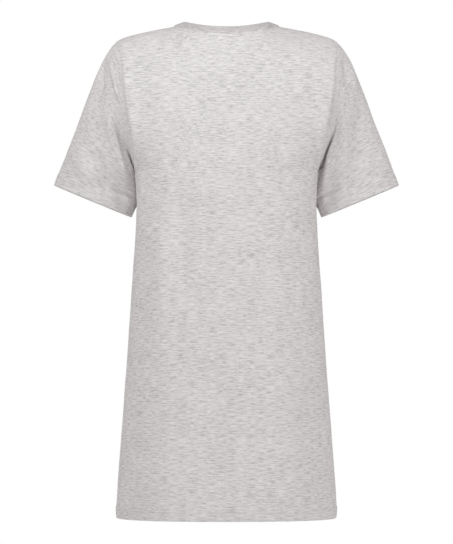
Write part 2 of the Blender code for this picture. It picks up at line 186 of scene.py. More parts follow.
# Torso sections from the hem up, each round with this power.
BODY_POWER = 2.4
TORSO = (
    # height, half_width, back_depth, front_depth
    (-864.0, 194.8, 148.0, 150.0),
    (-800.0, 191.0, 143.0, 146.0),
    (-700.0, 183.5, 134.0, 139.0),
    (-600.0, 176.0, 126.5, 132.0),
    (-500.0, 169.2, 119.5, 126.0),
    (-400.0, 162.4, 113.5, 121.0),
    (-350.0, 159.4, 111.0, 119.0),
    (-315.0, 158.2, 109.5, 118.0),
    (-285.0, 159.4, 108.5, 117.0),
    (-255.0, 162.5, 107.0, 115.5),
    (-200.0, 162.5, 103.5, 111.5),
    (-150.0, 162.5, 97.5, 105.0),
    (-100.0, 162.5, 89.5, 94.0),
    (-60.0, 162.5, 81.0, 84.0),
    (-24.0, 162.5, 71.5, 76.0),
    (60.0, 162.5, 60.0, 66.0),
)

# Armhole seam from the shoulder point down: how far out each line of it lies, and how deep.
ARMHOLE = (
    # height, back_left, back_right, front
    (60.0, 197.0, 197.0, 197.0),
    (-29.5, 197.0, 197.0, 197.0),
    (-42.0, 190.5, 195.0, 192.0),
    (-60.0, 185.5, 193.0, 187.5),
    (-95.0, 182.0, 191.0, 181.5),
    (-130.0, 178.5, 186.5, 176.0),
    (-172.0, 171.5, 178.5, 170.5),
    (-208.0, 165.5, 171.5, 166.0),
    (-236.0, 162.5, 166.0, 163.5),
    (-255.0, 162.5, 162.5, 162.5),
    (-900.0, 162.5, 162.5, 162.5),
)
ARMHOLE_DEPTH = {"back": 0.73, "front": 0.64}
ARMHOLE_RUN = 155.0

# Crest of the shoulder, carried on inside the neck so that the panels slope up to the neckline.
SHOULDER = (
    # out_from_middle, height, back_rounding, front_rounding
    (0.0, 50.0, 108.0, 190.0),
    (30.0, 32.0, 108.0, 190.0),
    (60.0, 14.5, 110.0, 188.0),
    (80.0, 4.6, 113.0, 184.0),
    (93.3, 0.0, 116.0, 180.0),
    (115.0, -4.3, 122.0, 172.0),
    (143.4, -10.1, 131.0, 162.0),
    (171.6, -17.0, 140.0, 154.0),
    (185.7, -21.9, 145.0, 151.0),
    (192.7, -26.0, 148.0, 150.0),
    (197.0, -29.5, 150.0, 150.0),
)

# Sleeve sections along the arm: the outer and inner points of each, its depth and its lean.
SLEEVE = (
    # share, outer_x, outer_z, inner_clear, inner_z, back_half, front_half, outer_y, inner_y
    (0.00, 197.0, -29.5, 0.0, -255.0, 52.0, 54.0, 0.0, 0.0),
    (0.05, 206.5, -41.5, 1.7, -258.5, 53.5, 55.0, 0.5, 11.0),
    (0.12, 217.6, -60.0, 1.8, -263.0, 55.5, 57.0, 2.0, 20.0),
    (0.22, 229.6, -86.0, 1.7, -269.0, 57.5, 59.0, 4.5, 26.0),
    (0.34, 242.6, -118.5, 1.9, -276.0, 58.5, 60.0, 8.5, 29.0),
    (0.50, 258.3, -160.5, 2.0, -285.5, 57.5, 58.5, 14.5, 31.0),
    (0.68, 275.2, -202.5, 2.0, -296.5, 54.0, 54.5, 21.5, 32.0),
    (0.82, 288.3, -236.0, 2.0, -305.0, 49.5, 49.5, 26.5, 32.0),
    (0.90, 294.9, -252.5, 3.0, -309.5, 46.5, 46.5, 29.0, 32.0),
    (1.00, 304.9, -277.5, 11.6, -334.5, 44.5, 44.5, 31.0, 31.0),
)
CUFF_SHARE = 0.926

# Neckband sections from the seam to the free edge: width, depth and drop at back and front.
FRONT_FALL = 3.0
NECKBAND = (
    # share, half_width, side_height, back_depth, back_height, back_fall, front_depth, front_height
    (0.0, 93.3, 0.0, 70.0, -17.4, 1.70, 93.5, -98.0),
    (0.5, 84.6, 4.9, 65.5, -9.8, 1.92, 89.5, -88.0),
    (1.0, 74.8, 8.3, 59.0, -3.8, 2.15, 84.0, -79.5),
)

# Largest folds: where each runs in x and height, its half width and how far it stands out.
BACK_FOLDS = (
    # x0, height0, x1, height1, half_width, rise
    (-77.0, -300.0, -80.0, -480.0, 26.0, -2.5),
    (-114.0, -360.0, -120.0, -620.0, 28.0, 2.5),
    (-30.0, -560.0, -26.0, -830.0, 42.0, -4.0),
    (70.0, -520.0, 88.0, -850.0, 46.0, 4.0),
    (-150.0, -275.0, -96.0, -330.0, 15.0, 2.0),
    (148.0, -270.0, 100.0, -335.0, 15.0, 2.0),
)
FRONT_FOLDS = (
    # x0, height0, x1, height1, half_width, rise
    (-70.0, -420.0, -84.0, -850.0, 44.0, 4.0),
    (24.0, -480.0, 30.0, -840.0, 42.0, -3.5),
    (96.0, -400.0, 118.0, -800.0, 34.0, 3.0),
    (-150.0, -275.0, -92.0, -335.0, 15.0, 2.0),
    (150.0, -275.0, 92.0, -335.0, 15.0, 2.0),
)
LEFT_SLEEVE_FOLDS = (
    # x0, height0, x1, height1, half_width, rise
    (-217.0, -62.0, -236.0, -158.0, 13.0, -4.0),
    (-226.0, -236.0, -214.0, -292.0, 10.0, -3.0),
    (-213.0, -122.0, -184.0, -292.0, 8.5, 4.5),
    (-266.0, -218.0, -248.0, -272.0, 16.0, 3.0),
    (-176.0, -122.0, -160.0, -316.0, 9.0, -8.0),
)
RIGHT_SLEEVE_FOLDS = (
    # x0, height0, x1, height1, half_width, rise
    (237.0, -130.0, 226.0, -262.0, 15.0, -5.5),
    (270.0, -218.0, 288.0, -256.0, 15.0, 3.5),
    (187.0, -212.0, 176.0, -300.0, 8.5, 3.5),
    (196.0, -112.0, 170.0, -290.0, 7.0, -5.5),
)


def column(table, place):
    """One named column of a table as an array."""
    return np.array([row[place] for row in table], dtype=float)


def slopes(knots, values):
    """Gentle slopes at the rows of a table, with no overshoot between rows."""
    step = np.diff(knots)
    rise = np.diff(values) / step
    inner = np.zeros(len(knots))
    inner[0] = rise[0]
    inner[-1] = rise[-1]
    before, after = rise[:-1], rise[1:]
    steady = before * after > 0.0
    weight = (step[:-1] + 2.0 * step[1:], 2.0 * step[:-1] + step[1:])
    safe_before = np.where(steady, before, 1.0)
    safe_after = np.where(steady, after, 1.0)
    mean = (weight[0] + weight[1]) / (weight[0] / safe_before + weight[1] / safe_after)
    inner[1:-1] = np.where(steady, mean, 0.0)
    return inner


def smooth(knots, values, at):
    """Read a table between its rows along a smooth curve."""
    order = np.argsort(knots)
    knots, values = knots[order], values[order]
    slope = slopes(knots, values)
    at = np.clip(np.asarray(at, dtype=float), knots[0], knots[-1])
    low = np.clip(np.searchsorted(knots, at, side="right") - 1, 0, len(knots) - 2)
    step = knots[low + 1] - knots[low]
    t = (at - knots[low]) / step
    return (values[low] * (1 + 2 * t) * (1 - t) ** 2 + slope[low] * step * t * (1 - t) ** 2
            + values[low + 1] * t * t * (3 - 2 * t) + slope[low + 1] * step * t * t * (t - 1))


def rounding(share):
    """Round edge over its run: 0 at 0 with an upright start, and 1 from 1 on."""
    share = np.clip(share, 0.0, 1.0)
    return np.sqrt(np.maximum(0.0, 1.0 - (1.0 - share) ** 3))


def ease(share):
    """Smooth step from 0 to 1."""
    share = np.clip(share, 0.0, 1.0)
    return share * share * (3.0 - 2.0 * share)


def unit(vectors):
    """Vectors at length one."""
    size = np.linalg.norm(vectors, axis=-1, keepdims=True)
    return vectors / np.maximum(size, 1e-9)


def folds(table, x, z, across):
    """Sum of the folds of a table at given places, faded by across toward the edges."""
    total = np.zeros_like(x)
    for x0, z0, x1, z1, half_width, rise in table:
        run = np.array([x1 - x0, z1 - z0])
        length = np.hypot(run[0], run[1])
        along = ((x - x0) * run[0] + (z - z0) * run[1]) / length ** 2
        beside = ((x - x0) * run[1] - (z - z0) * run[0]) / length
        ends = np.where(along < 0.5, along + 0.25, 1.25 - along) / 0.5
        total += rise * ease(ends) * np.exp(-(beside / half_width) ** 2)
    return total * across


def crest(x, face):
    """Height of the shoulder line and the run of the rounding below it, at a place in x."""
    out = np.abs(x)
    knots = column(SHOULDER, 0)
    run = column(SHOULDER, 2 if face == "back" else 3)
    return smooth(knots, column(SHOULDER, 1), out), smooth(knots, run, out)


def neck_height(share, row, face):
    """Height of a neckband section at a share of its half width."""
    share = np.clip(np.abs(share), 0.0, 1.0)
    if face == "back":
        return row[2] + (row[4] - row[2]) * (1.0 - share ** row[5])
    return row[2] + (row[7] - row[2]) * (1.0 - share ** FRONT_FALL)


def torso_depth(z, face):
    """Depth of the back or front at a height."""
    return smooth(column(TORSO, 0), column(TORSO, 2 if face == "back" else 3), z)


def armhole_out(z, side, face):
    """How far out the armhole seam lies at a height."""
    place = 3
    if face == "back":
        place = 1 if side < 0 else 2
    return smooth(column(ARMHOLE, 0), column(ARMHOLE, place), z)


def armhole_ratio(z, face):
    """Share of the torso's depth at which the armhole seam lies: 0 at the underarm."""
    return ARMHOLE_DEPTH[face] * rounding((z - UNDERARM_Z) / ARMHOLE_RUN)


def reach(z, side, face):
    """Half width of the torso section that would pass through the armhole seam."""
    ratio = armhole_ratio(z, face)
    above = armhole_out(z, side, face) / (1.0 - ratio ** BODY_POWER) ** (1.0 / BODY_POWER)
    below = smooth(column(TORSO, 0), column(TORSO, 1), z)
    return np.where(z > UNDERARM_Z, above, below)


def widest(z, face):
    """Angle of the last column at a height: a right angle at the side seam."""
    ratio = np.where(z > UNDERARM_Z, armhole_ratio(z, face), 0.0)
    return np.arccos(ratio ** (BODY_POWER / 2.0))


def torso_point(u, z, face):
    """Point of the torso at a column share from -1 to 1 and a height."""
    side = np.where(u < 0, -1.0, 1.0)
    half = np.where(u < 0, reach(z, -1.0, face), reach(z, 1.0, face))
    angle = np.abs(u) * widest(z, face)
    x = side * half * np.sin(angle) ** (2.0 / BODY_POWER)
    section = np.maximum(np.cos(angle), 0.0) ** (2.0 / BODY_POWER)
    top, run = crest(x, face)
    shape = section * rounding((top - z) / run)
    table = BACK_FOLDS if face == "back" else FRONT_FOLDS
    depth = torso_depth(z, face) * shape + folds(table, x, z, shape ** 2)
    sign = -1.0 if face == "back" else 1.0
    return x, sign * depth


def crowded(share):
    """Shares drawn together at both ends."""
    return share - CROWDING * np.sin(2.0 * np.pi * share) / (2.0 * np.pi)


def column_shares(face, neck_columns, shoulder_columns):
    """Column shares from the left border to the right, drawn together at the borders."""
    half = reach(np.array(0.0), 1.0, face)
    angle = np.arcsin((NECK_X / half) ** (BODY_POWER / 2.0)) / widest(np.array(0.0), face)
    turn = np.sin(np.linspace(0.0, np.pi / 2.0, neck_columns + 1)) * NECK_X
    neck = np.arcsin((turn / half) ** (BODY_POWER / 2.0)) / widest(np.array(0.0), face)
    share = np.linspace(0.0, 1.0, shoulder_columns + 1)[1:]
    rest = angle + (1.0 - angle) * (1.0 - (1.0 - share) ** 1.5)
    right = np.concatenate([neck, rest])
    return np.concatenate([-right[:0:-1], right])


def row_heights():
    """Heights of the rows below the underarm, close together in the hem."""
    lower = np.linspace(UNDERARM_Z, HEM_Z + HEM_DEPTH + 5.0, SKIRT_ROWS + 1)[1:]
    return np.concatenate([lower, np.linspace(HEM_Z + HEM_DEPTH + 4.0, HEM_Z, HEM_ROWS)])


def panel(face, neck_columns, shoulder_columns, armhole_rows):
    """Grid of points of the back or front: rows from the top border to the hem."""
    u = column_shares(face, neck_columns, shoulder_columns)
    neck_share = np.abs(u[shoulder_columns])
    share = np.arange(armhole_rows + 1) / armhole_rows
    round_share = (1.0 - np.cos(np.pi * crowded(share))) / 2.0
    lean = np.clip(np.abs(u) / neck_share, 0.0, 1.0) ** 2
    step = (share ** 1.35)[:, None] * (1.0 - lean) + round_share[:, None] * lean
    on_neck = np.abs(u) < neck_share - 1e-9
    z = UNDERARM_Z * step
    for _ in range(24):
        x, _ = torso_point(np.broadcast_to(u, z.shape), z, face)
        neckline = neck_height(x / NECK_X, NECKBAND[0], face)
        top = np.where(on_neck, neckline, crest(x, face)[0])
        z = 0.5 * z + 0.5 * (top * (1.0 - step) + UNDERARM_Z * step)
    lower = np.repeat(row_heights()[:, None], len(u), axis=1)
    z = np.concatenate([z, lower])
    x, y = torso_point(np.broadcast_to(u, z.shape), z, face)
    y[0, ~on_neck] = 0.0
    y[armhole_rows:, 0] = 0.0
    y[armhole_rows:, -1] = 0.0
    return np.stack([x, y, z], axis=-1)


def armhole_loop(back, front, side, armhole_rows):
    """Closed armhole seam from the shoulder point down the back and up the front."""
    place = 0 if side < 0 else -1
    down = back[:armhole_rows + 1, place]
    up = front[1:armhole_rows, place][::-1]
    return np.concatenate([down, up])


def torso_side(y, z):
    """Half width of the torso below the underarm at a place off its middle plane."""
    half = smooth(column(TORSO, 0), column(TORSO, 1), z)
    depth = np.where(y < 0, torso_depth(z, "back"), torso_depth(z, "front"))
    ratio = np.clip(np.abs(y) / depth, 0.0, 1.0)
    return half * (1.0 - ratio ** BODY_POWER) ** (1.0 / BODY_POWER)


def sleeve(loop, side):
    """Grid of points of a sleeve: rings from the armhole seam to the cuff."""
    count = len(loop)
    place = np.arange(count) / count
    turn = 2.0 * np.pi * np.where(
        place <= 0.5, crowded(2.0 * place) / 2.0, 1.0 - crowded(2.0 - 2.0 * place) / 2.0)
    knots = column(SLEEVE, 0)
    share = sleeve_shares()[:, None]
    outer_x, outer_z, clear, inner_z, back_half, front_half, outer_y, inner_y = (
        smooth(knots, column(SLEEVE, place), share) for place in range(1, 9))
    inner_x = torso_side(inner_y, inner_z) + clear
    high = (1.0 + np.cos(turn)) / 2.0
    half = np.where(np.sin(turn) > 0.0, back_half, front_half)
    x = inner_x + (outer_x - inner_x) * high
    y = inner_y + (outer_y - inner_y) * high - half * np.sin(turn)
    z = inner_z + (outer_z - inner_z) * high
    points = np.stack([side * x, y, z], axis=-1)
    points += (loop - points[0]) * ((1.0 - share) ** 5)[:, :, None]
    table = LEFT_SLEEVE_FOLDS if side < 0 else RIGHT_SLEEVE_FOLDS
    facing = np.clip(np.sin(turn), 0.0, 1.0) ** 1.2 * ease(share / 0.12)
    points[..., 1] -= folds(table, points[..., 0], points[..., 2], facing)
    return points


def sleeve_shares():
    """Shares of the rings along a sleeve, close together at the seam and in the cuff."""
    place = np.linspace(0.0, 1.0, SLEEVE_RINGS)
    upper = (CUFF_SHARE - 0.022) * (0.35 * place ** 2.2 + 0.65 * place)
    return np.concatenate([upper, np.linspace(CUFF_SHARE - 0.018, 1.0, CUFF_RINGS)])


def band_ring(row, seam, on_back):
    """Ring of the neckband: the neck seam drawn in to one section of the table."""
    first = NECKBAND[0]
    share = seam[:, 0] / NECK_X
    height = np.where(on_back, neck_height(share, row, "back"), neck_height(share, row, "front"))
    depth = np.where(on_back, row[3] / first[3], row[6] / first[6])
    return np.stack([share * row[1], seam[:, 1] * depth, height], axis=-1)


def neckband(seam, neck_columns, rings):
    """Grid of points of the neckband: rings from the neck seam to the free edge."""
    on_back = np.arange(len(seam)) <= 2 * neck_columns
    stack = np.stack([band_ring(row, seam, on_back) for row in NECKBAND])
    stack[0] = seam
    knots = column(NECKBAND, 0)
    share = np.linspace(0.0, 1.0, rings + 1)
    axes = [
        np.stack([smooth(knots, stack[:, point, axis], share) for point in range(len(seam))])
        for axis in range(3)]
    return np.stack(axes, axis=-1).transpose(1, 0, 2)


def neck_seam(back, front, shoulder_columns):
    """Closed neck seam: the back from left to right, then the front from right to left."""
    first, last = shoulder_columns, back.shape[1] - shoulder_columns
    return np.concatenate([back[0, first:last], front[0, first + 1:last - 1][::-1]])


def grid_normals(grid, closed, outward):
    """Normal at each point of a grid, turned outward by the given sign."""
    if closed:
        along = np.roll(grid, -1, axis=1) - np.roll(grid, 1, axis=1)
    else:
        along = np.gradient(grid, axis=1)
    down = np.gradient(grid, axis=0)
    return unit(np.cross(along, down)) * outward


def seam_frames(seam, own, other, inward, outward):
    """Shared normal at a closed seam and the direction across it, from one piece to the next."""
    along = unit(np.roll(seam, -1, axis=0) - np.roll(seam, 1, axis=0))
    shared = own + other
    shared = unit(shared - along * np.sum(shared * along, axis=-1, keepdims=True))
    across = unit(np.cross(along, shared))
    sense = np.sum(across * (outward + inward), axis=-1, keepdims=True)
    return shared, across * np.where(sense < 0.0, -1.0, 1.0)


def distances(grid, axis):
    """Length along a grid from its first row or column to each point."""
    step = np.linalg.norm(np.diff(grid, axis=axis), axis=-1)
    start = np.zeros_like(np.take(step, [0], axis=axis))
    return np.concatenate([start, np.cumsum(step, axis=axis)], axis=axis)


def ditch(distance, deep, wide):
    """Dent along a seam or a row of stitches."""
    return -deep * np.exp(-(distance / wide) ** 2)


def turned_edge(up, curl):
    """Relief of a hem or cuff at a length up from its edge: step, curl and dents of its stitches."""
    relief = HEM_STEP * ease((HEM_DEPTH + 1.5 - up) / 2.5)
    relief -= curl * np.clip(1.0 - up / HEM_DEPTH, 0.0, 1.0) ** 2
    for row in HEM_STITCHES:
        relief += ditch(up - row, STITCH_DENT, STITCH_DENT_WIDTH)
    return relief


def waves(grid, size, height, seed):
    """Low uneven waves of the cloth, the same each run."""
    flat = grid.reshape(-1, 3) / size
    values = [noise.noise(Vector((x + seed, y, z))) for x, y, z in flat]
    return height * np.array(values).reshape(grid.shape[:2])


def faded_waves(grid, table, from_seam, seed):
    """Sum of the waves of a table, each fading in with the length from the seam."""
    return sum(
        waves(grid, size, height, seed + step) * ease(from_seam / fade)
        for size, height, step, fade in table)


def creases(grid, table):
    """Soft ridges and troughs along lines of (x, z) points, each fading out at its two ends."""
    flat = grid[..., (0, 2)]
    height = np.zeros(grid.shape[:2])
    for width, rise, points in table:
        points = np.array(points, float)
        near = np.full(grid.shape[:2], np.inf)
        place = np.zeros(grid.shape[:2])
        for number, (start, end) in enumerate(zip(points[:-1], points[1:])):
            run = end - start
            share = np.clip(((flat - start) @ run) / (run @ run), 0.0, 1.0)
            gap = np.linalg.norm(flat - start - share[..., None] * run, axis=-1)
            place = np.where(gap < near, (number + share) / (len(points) - 1), place)
            near = np.minimum(gap, near)
        fade = ease(place / 0.3) * ease((1.0 - place) / 0.3)
        height += rise * fade * np.exp(-(near / width) ** 2)
    return height


def body_relief(grid, on_neck, drapes, seed):
    """Small relief of the back or front: seam ditches, stitched hem, drapes and low waves."""
    down = distances(grid, 0)
    up = down[-1] - down
    across = distances(grid, 1)
    beside = np.minimum(across, across[:, -1:] - across)
    edge = np.minimum(beside, down)
    below = ease((UNDERARM_Z - 25.0 - grid[..., 2]) / 40.0)
    above = ease((grid[..., 2] - UNDERARM_Z) / 25.0)
    relief = ditch(beside, 0.7, 1.9) * np.maximum(below, above) + ditch(down, 0.3, 1.4)
    relief += turned_edge(up, HEM_CURL)
    relief += ditch(down - NECK_STITCH, 1.0, 1.7) * on_neck
    relief += creases(grid, drapes) * ease(edge / 12.0)
    relief += faded_waves(grid, BODY_WAVES, edge, seed)
    ripples = waves(grid * (1.0, 1.0, 0.25), RIPPLE_SIZE, 0.32, seed + 3.0)
    relief += ripples * ease((30.0 - up) / 18.0) * ease(edge / 8.0)
    return relief


def armhole_lip(grid):
    """How far the back or front stands away from the middle plane beside its armholes."""
    across = distances(grid, 1)
    beside = np.minimum(across, across[:, -1:] - across)
    high = ease((grid[..., 2] - UNDERARM_Z + 75.0) / 70.0) * ease((-40.0 - grid[..., 2]) / 45.0)
    lip = (1.0 - np.exp(-beside / LIP_EDGE)) * np.exp(-(beside / LIP_WIDTH) ** 2)
    return LIP_HEIGHT * lip * high


def sleeve_swell(grid, normals):
    """Shift of the back of a sleeve, out and towards the body, where it turns in.

    The factor 2.6 brings the corner's share to 1 where it is largest.
    """
    down = distances(grid, 0)
    side = np.sign(grid[..., 0])
    toward_body = np.clip(-side * normals[..., 0], 0.0, 1.0)
    corner = 2.6 * toward_body ** 2 * np.clip(-normals[..., 1], 0.0, 1.0)
    size = SLEEVE_SWELL * corner * ease((-110.0 - grid[..., 2]) / 60.0) * ease(down / 7.0)
    across = SWELL_ACROSS * side * size * ease((grid[..., 2] + 345.0) / 55.0)
    return np.stack([-across, -size, np.zeros_like(size)], axis=-1)


def sleeve_relief(grid, normals, back_folds, front_folds, seed):
    """Small relief of a sleeve: armhole ditch, underarm seam, stitched cuff, folds and waves."""
    down = distances(grid, 0)
    up = down[-1] - down
    around = distances(np.concatenate([grid, grid[:, :1]], axis=1), 1)
    beside = np.minimum(around[:, :-1], around[:, -1:] - around[:, :-1])
    low = grid[..., 2] < UNDERARM_Z
    relief = ditch(down, 0.9, 1.9) * np.where(low, 0.0, ease((grid[..., 2] - UNDERARM_Z) / 25.0))
    relief += ditch(beside, 0.5, 1.8) * ease((down - 30.0) / 30.0)
    relief += turned_edge(up, CUFF_CURL)
    tuck = ease((grid[..., 2] + 330.0) / 60.0) * ease((-95.0 - grid[..., 2]) / 60.0)
    reach_in = down / TUCK_WIDTH
    relief -= TUCK_DEPTH * reach_in * np.exp(1.0 - reach_in) * tuck * (grid[..., 1] < 0.0)
    clear_of_seams = ease(down / 8.0) * ease(beside / 8.0)
    relief += creases(grid, back_folds) * ease(-normals[..., 1] / 0.6) * clear_of_seams
    mirrored = grid * (-1.0, 1.0, 1.0)
    relief += creases(mirrored, front_folds) * ease(normals[..., 1] / 0.6) * clear_of_seams
    relief += faded_waves(grid, SLEEVE_WAVES, down, seed)
    ripples = waves(grid * (1.0, 1.0, 0.4), RIPPLE_SIZE, 0.3, seed + 3.0)
    relief += ripples * ease((28.0 - up) / 16.0)
    return relief


def tube_map(grid):
    """Flat map of a closed piece in metres: length along each ring and up from the last one."""
    down = distances(grid, 0)
    return np.stack([distances(grid, 1), down[-1] - down], axis=-1) * METRES


def panel_map(grid, face):
    """Flat map of the back or front in metres, with its rows level below the shoulders."""
    along = distances(grid, 1)
    middle = grid.shape[1] // 2
    knots = (1.0 - np.cos(np.linspace(0.0, np.pi, 60))) / 2.0 * ROUNDING_FALL
    depth = ROUNDING_DEPTH * rounding(knots / ROUNDING_FALL)
    extra = np.hypot(np.diff(depth), np.diff(knots)) - np.diff(knots)
    spare = np.concatenate([np.cumsum(extra[::-1])[::-1], [0.0]])
    below = np.clip(crest(grid[..., 0], face)[0] - grid[..., 2], 0.0, ROUNDING_FALL)
    up = grid[..., 2] - HEM_Z + np.interp(below, knots, spare)
    flat = np.stack([along - along[:, middle:middle + 1], up], axis=-1) * METRES
    return flat + (FRONT_MAP_SHIFT if face == "front" else 0.0)


def fold_arc(outer, inner):
    """Rounded edge of folded cloth between the last rows of an outer and an inner grid."""
    half = (outer[-1] - inner[-1]) / 2.0
    onward = unit(outer[-1] - outer[-2]) * np.linalg.norm(half, axis=-1, keepdims=True)
    turn = (np.pi * np.arange(1, FOLD_STEPS + 1) / (FOLD_STEPS + 1))[:, None, None]
    return (outer[-1] + inner[-1]) / 2.0 + half * np.cos(turn) + onward * np.sin(turn)


def shell(name, outer, inner, flat, full_turn, material):
    """Closed cloth wall with a rounded free edge and a map of lengths.

    full_turn is the map's length round each row of a closed ring, or None where the wall is open.
    """
    closed = full_turn is not None
    rows, columns = outer.shape[:2]
    arc = fold_arc(outer, inner)
    loop = np.concatenate([outer, arc, inner[::-1]])
    count = len(loop)
    index = np.arange(count * columns).reshape(count, columns)
    left, right = (index, np.roll(index, -1, axis=1)) if closed else (index[:, :-1], index[:, 1:])
    quads = np.stack(
        [left, np.roll(left, -1, axis=0), np.roll(right, -1, axis=0), right], axis=-1)
    faces = quads.reshape(-1, 4).tolist()
    if not closed:
        for place in (0, columns - 1):
            edge = index[:, place]
            back_edge = edge[::-1]
            for row in range(rows - 1):
                faces.append([edge[row], edge[row + 1], back_edge[row + 1], back_edge[row]])
            faces.append(edge[rows - 1:rows + FOLD_STEPS + 1].tolist())
    mesh = bpy.data.meshes.new(name)
    mesh.from_pydata((loop.reshape(-1, 3) * METRES).tolist(), [], faces)
    mesh.validate()
    turn_outward(mesh)
    step = (np.arange(1, FOLD_STEPS + 1) * FOLD_MAP_STEP)[:, None]
    arc_map = np.stack(
        [np.repeat(flat[-1:, :, 0], FOLD_STEPS, axis=0), flat[-1:, :, 1] - step], axis=-1)
    loop_map = np.concatenate([flat, arc_map, flat[::-1]]).reshape(-1, 2)
    corner = np.empty(len(mesh.loops), dtype=int)
    mesh.loops.foreach_get("vertex_index", corner)
    corner_map = loop_map[corner]
    if closed:
        turn_map = np.concatenate([full_turn, np.repeat(full_turn[-1:], FOLD_STEPS),
                                   full_turn[::-1]])
        place = (corner % columns).reshape(-1, 4)
        wraps = (place == 0) & (place == columns - 1).any(axis=1, keepdims=True)
        wraps = wraps.reshape(-1)
        corner_map[wraps, 0] += turn_map[corner[wraps] // columns]
    layer = mesh.uv_layers.new(name="cloth")
    layer.data.foreach_set("uv", corner_map.ravel())
    return piece(name, mesh, material, 50.0)


def turn_outward(mesh):
    """Turn the faces of a closed mesh outward."""
    work = bmesh.new()
    work.from_mesh(mesh)
    bmesh.ops.recalc_face_normals(work, faces=work.faces)
    work.to_mesh(mesh)
    work.free()


def piece(name, mesh, material, sharp_degrees):
    """Object with smooth shading and sharp edges above an angle."""
    mesh.shade_smooth()
    mesh.set_sharp_from_angle(angle=np.radians(sharp_degrees))
    mesh.materials.append(material)
    body = bpy.data.objects.new(name, mesh)
    bpy.context.scene.collection.objects.link(body)
    return body


def stitches(path, normals, thread):
    """Points and faces of a row of short threads lying along a path."""
    length, gap, radius = thread
    along = np.concatenate([[0.0], np.cumsum(np.linalg.norm(np.diff(path, axis=0), axis=-1))])
    count = int(along[-1] // (length + gap))
    starts = np.arange(count) * along[-1] / count + gap / 2.0
    thick = column(THREAD_SHAPE, 1) * radius
    rise = column(THREAD_SHAPE, 2) * radius
    at = starts[:, None] + column(THREAD_SHAPE, 0) * length
    centre = np.stack([np.interp(at, along, path[:, axis]) for axis in range(3)], axis=-1)
    out = unit(np.stack([np.interp(at, along, normals[:, axis]) for axis in range(3)], axis=-1))
    ahead = unit(np.gradient(centre, axis=1))
    side = unit(np.cross(out, ahead))
    centre = centre + out * rise[:, None]
    turn = 2.0 * np.pi * np.arange(THREAD_SIDES) / THREAD_SIDES
    ring = (side[:, :, None] * np.cos(turn)[:, None] + out[:, :, None] * np.sin(turn)[:, None])
    points = centre[:, :, None] + ring * thick[None, :, None, None]
    index = np.arange(points[..., 0].size).reshape(points.shape[:3])
    near, far = index[:, :-1], index[:, 1:]
    quads = np.stack([near, np.roll(near, -1, axis=2), np.roll(far, -1, axis=2), far], axis=-1)
    faces = quads.reshape(-1, 4).tolist()
    faces += index[:, 0, ::-1].tolist() + index[:, -1].tolist()
    return points.reshape(-1, 3), faces


def stitch_path(values, lengths, distance, closed):
    """Values of a grid where its lengths reach a distance, one for each column.

    A closed path ends with its first value again.
    """
    path = np.empty((values.shape[1], 3))
    for place in range(values.shape[1]):
        known = lengths[:, place]
        order = np.argsort(known)
        for axis in range(3):
            path[place, axis] = np.interp(distance, known[order], values[order, place, axis])
    return np.concatenate([path, path[:1]]) if closed else path


def thread_piece(name, rows, material):
    """One object from several rows of stitches."""
    points, faces, shift = [], [], 0
    for row_points, row_faces in rows:
        faces += [[corner + shift for corner in face] for face in row_faces]
        shift += len(row_points)
        points.append(row_points)
    mesh = bpy.data.meshes.new(name)
    mesh.from_pydata((np.concatenate(points) * METRES).tolist(), [], faces)
    mesh.validate()
    turn_outward(mesh)
    return piece(name, mesh, material, 60.0)


